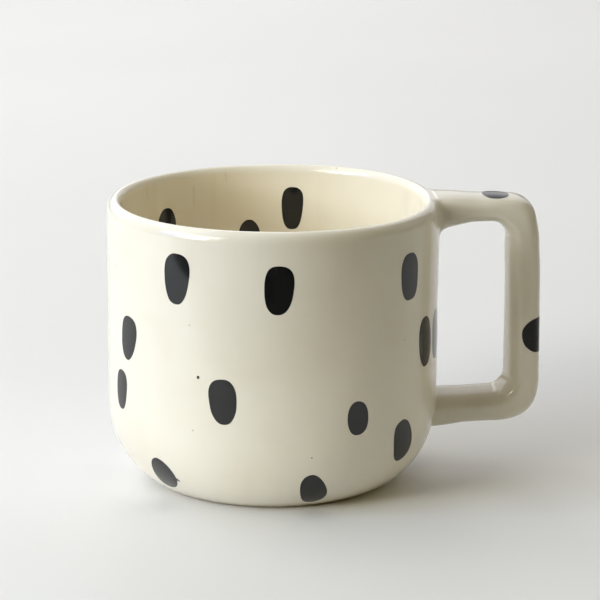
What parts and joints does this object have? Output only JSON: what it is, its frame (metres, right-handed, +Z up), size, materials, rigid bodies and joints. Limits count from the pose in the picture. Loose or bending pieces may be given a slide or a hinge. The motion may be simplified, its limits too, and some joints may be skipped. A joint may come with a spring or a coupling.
{
  "type": "stoneware mug",
  "caption": "Straight-sided stoneware mug with a rounded lower corner, a half-round lip and a squared strap handle, glazed cream with black brushed dots.",
  "frame": {"origin": "middle of the flat foot, on the cup's axis, where it meets the table", "axes": "+Z up the cup's axis, +X towards the handle, +Y to the left of someone who looks from the cup towards the handle"},
  "size_m": [0.1252, 0.095, 0.0828],
  "materials": {
    "cream_glaze": "glossy warm cream glaze over stoneware, with black underglaze dots inside and out and a bare clay foot",
    "handle_glaze": "the same glossy cream glaze, with two black underglaze dots on the strap",
    "slip_glaze": "joining slip under the same cream glaze"
  },
  "bodies": {
    "root": {"cup_body": "cream_glaze", "handle": "handle_glaze", "upper_luting_slip": "slip_glaze", "lower_luting_slip": "slip_glaze"}
  },
  "joints": []
}
